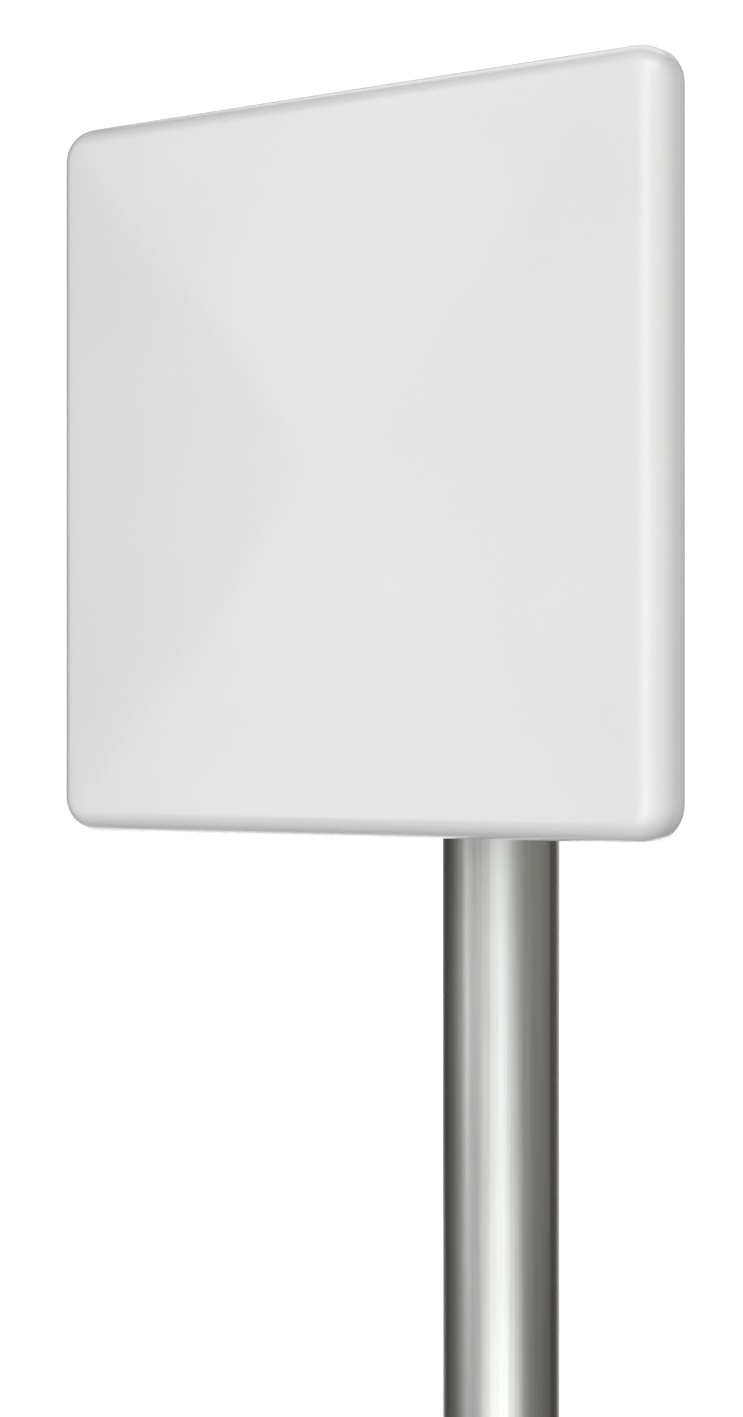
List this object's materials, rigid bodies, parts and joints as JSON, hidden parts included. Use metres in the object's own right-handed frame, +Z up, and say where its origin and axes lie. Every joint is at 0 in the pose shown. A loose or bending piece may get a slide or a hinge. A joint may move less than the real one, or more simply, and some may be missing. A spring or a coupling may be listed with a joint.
{
  "type": "flat panel antenna on a mast",
  "caption": "Square flat panel antenna with a shallow crowned cover, on a round steel mast, held by a clamp that slides, swivels and tilts.",
  "frame": {"origin": "centre of the mast's open lower end", "axes": "+Z up along the mast's axis, the antenna looks along -Y, +Y points out of the antenna's back and its connector"},
  "size_m": [0.305, 0.1581, 0.571],
  "materials": {
    "radome_plastic": "light grey-white weatherproof plastic, satin with a fine moulded grain",
    "gasket_rubber": "black silicone sheet, matt",
    "reflector_aluminium": "chromated aluminium sheet, satin, with a fine rolled grain",
    "stainless_screws": "stainless steel, turned and pickled",
    "zinc_fasteners": "bright zinc plate with a faint blue cast",
    "galvanised_steel": "galvanised sheet steel, with a faint spangle",
    "cast_saddles": "tumbled die-cast aluminium, matt",
    "mast_steel": "satin steel tube with drawn streaks along its length",
    "black_plastic": "black weatherproof plastic with a fine grain",
    "nylon": "natural nylon, slightly milky",
    "brass_sheet": "stamped brass sheet, satin",
    "copper_line": "drawn copper, slightly dulled",
    "nickel_plate": "nickel plate on brass, bright",
    "gold_contact": "gold-plated contact",
    "white_insulator": "white fluoroplastic, waxy",
    "label_vinyl": "plain silver-grey vinyl with no print"
  },
  "bodies": {
    "mast": {"mast_tube": "mast_steel", "mast_cap": "black_plastic"},
    "mast_clamp": {"clamp_bracket": "galvanised_steel", "upper_saddle": "cast_saddles", "lower_saddle": "cast_saddles", "upper_u_bolt": "zinc_fasteners", "lower_u_bolt": "zinc_fasteners", "u_bolt_washers": "zinc_fasteners", "u_bolt_nuts": "zinc_fasteners", "swivel_bolt": "zinc_fasteners", "swivel_washers": "zinc_fasteners", "swivel_nut": "zinc_fasteners"},
    "yoke": {"swivel_yoke": "galvanised_steel", "swivel_spacers": "nylon", "tilt_lock_bolts": "zinc_fasteners", "tilt_lock_washers": "zinc_fasteners", "tilt_lock_nuts": "zinc_fasteners"},
    "antenna": {"antenna_bracket": "galvanised_steel", "bracket_studs": "stainless_screws", "bracket_washers": "stainless_screws", "bracket_nuts": "stainless_screws", "tilt_bolt": "zinc_fasteners", "tilt_washers": "zinc_fasteners", "tilt_nut": "zinc_fasteners", "tilt_spacers": "nylon", "radome": "radome_plastic", "radome_gasket": "gasket_rubber", "back_plate": "reflector_aluminium", "cover_screws": "stainless_screws", "radiator_sheet": "brass_sheet", "radiator_spacers": "nylon", "radiator_screws": "stainless_screws", "feed_cable": "copper_line", "feed_cores": "copper_line", "connector_body": "nickel_plate", "connector_gasket": "gasket_rubber", "connector_insulator": "white_insulator", "connector_contact": "gold_contact", "connector_screws": "stainless_screws", "vent_plug": "black_plastic", "ground_screw": "stainless_screws", "ground_washer": "stainless_screws", "blank_label": "label_vinyl"}
  },
  "joints": [
    {"name": "height_slide", "type": "slide", "parent": "mast", "child": "mast_clamp", "axis": [0, 0, 1], "range_m": [-0.23, 0.015]},
    {"name": "azimuth_swivel", "type": "hinge", "parent": "mast_clamp", "child": "yoke", "pos_m": [0, -0.054, 0.4185], "axis": [0, 0, 1], "range_deg": [-30, 30]},
    {"name": "tilt", "type": "hinge", "parent": "yoke", "child": "antenna", "pos_m": [0, -0.08, 0.4185], "axis": [1, 0, 0], "range_deg": [-20, 20]}
  ]
}
